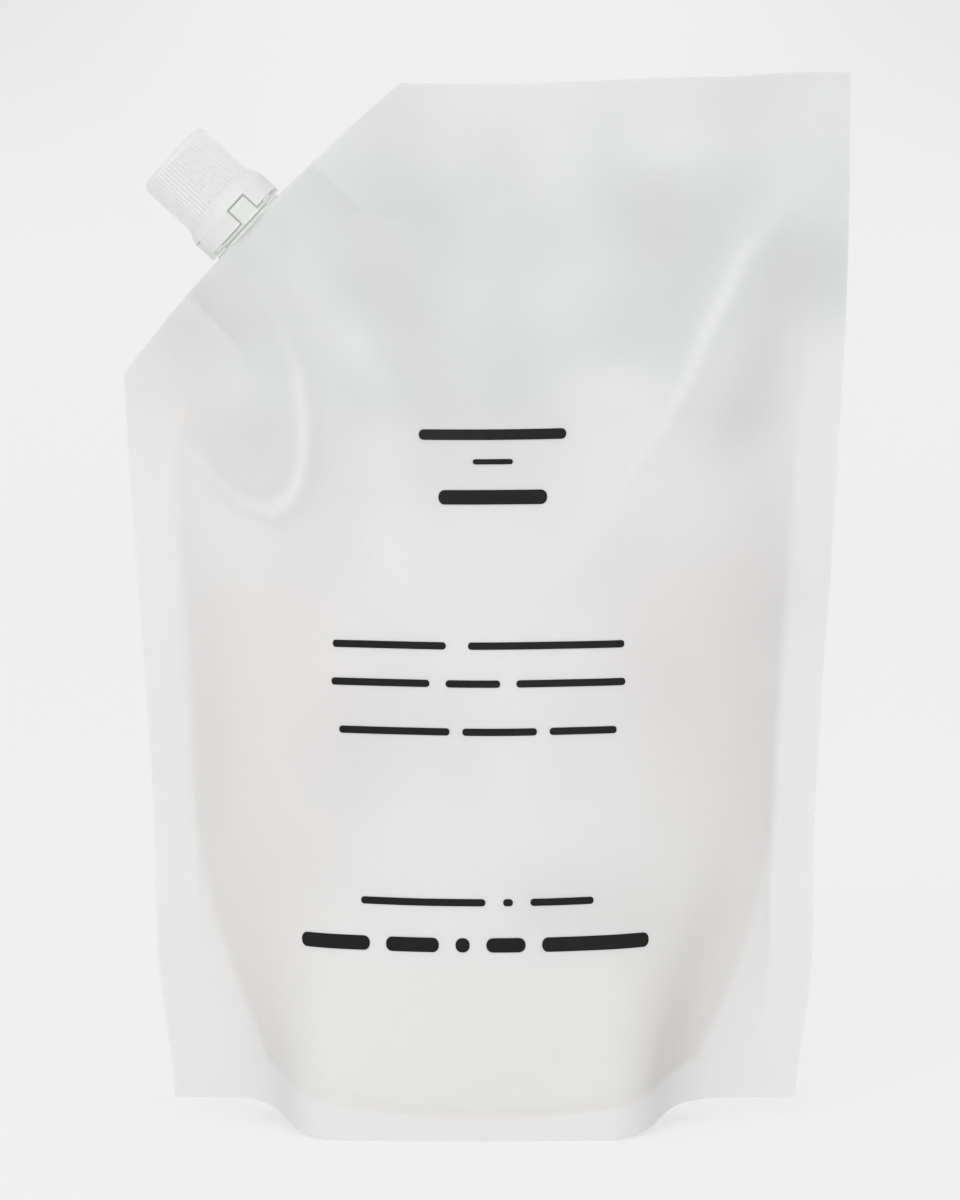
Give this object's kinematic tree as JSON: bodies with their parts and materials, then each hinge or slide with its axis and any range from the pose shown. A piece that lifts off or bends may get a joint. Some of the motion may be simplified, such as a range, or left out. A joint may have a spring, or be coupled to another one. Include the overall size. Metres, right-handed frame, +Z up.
{
  "type": "hand soap refill pack",
  "caption": "Stand-up film pouch of liquid soap with a gusseted foot, a cut corner and a screw cap on a welded spout.",
  "frame": {"origin": "middle of the foot, on the surface that the pack stands on", "axes": "+Z up the pack, +X to the right seen from the front, -Y out of the front panel"},
  "size_m": [0.1492, 0.0494, 0.2179],
  "materials": {
    "film": "frosted, milky see-through laminate film with a soft sheen",
    "soap": "pearly, slightly warm white liquid",
    "spout_plastic": "natural moulded polyethylene, slightly see-through",
    "cap_plastic": "white moulded polypropylene, fine satin"
  },
  "bodies": {
    "pack": {"front_panel": "film", "back_panel": "film", "bottom_gusset": "film", "soap_fill": "soap", "spout": "spout_plastic"},
    "tamper_band": {"tamper_band": "cap_plastic"},
    "cap": {"cap": "cap_plastic"}
  },
  "joints": [
    {"name": "cap_turn", "type": "hinge", "parent": "pack", "child": "tamper_band", "pos_m": [-0.04811, 0, 0.18597], "axis": [-0.7347, 0, 0.6784], "range_deg": [0, 720]},
    {"name": "cap_rise", "type": "slide", "parent": "tamper_band", "child": "cap", "axis": [-0.7347, 0, 0.6784], "range_m": [0, 0.008]}
  ],
  "couplings": [
    {"joint": "cap_rise", "follows": "cap_turn", "m_per_rad": 0.0006366}
  ]
}
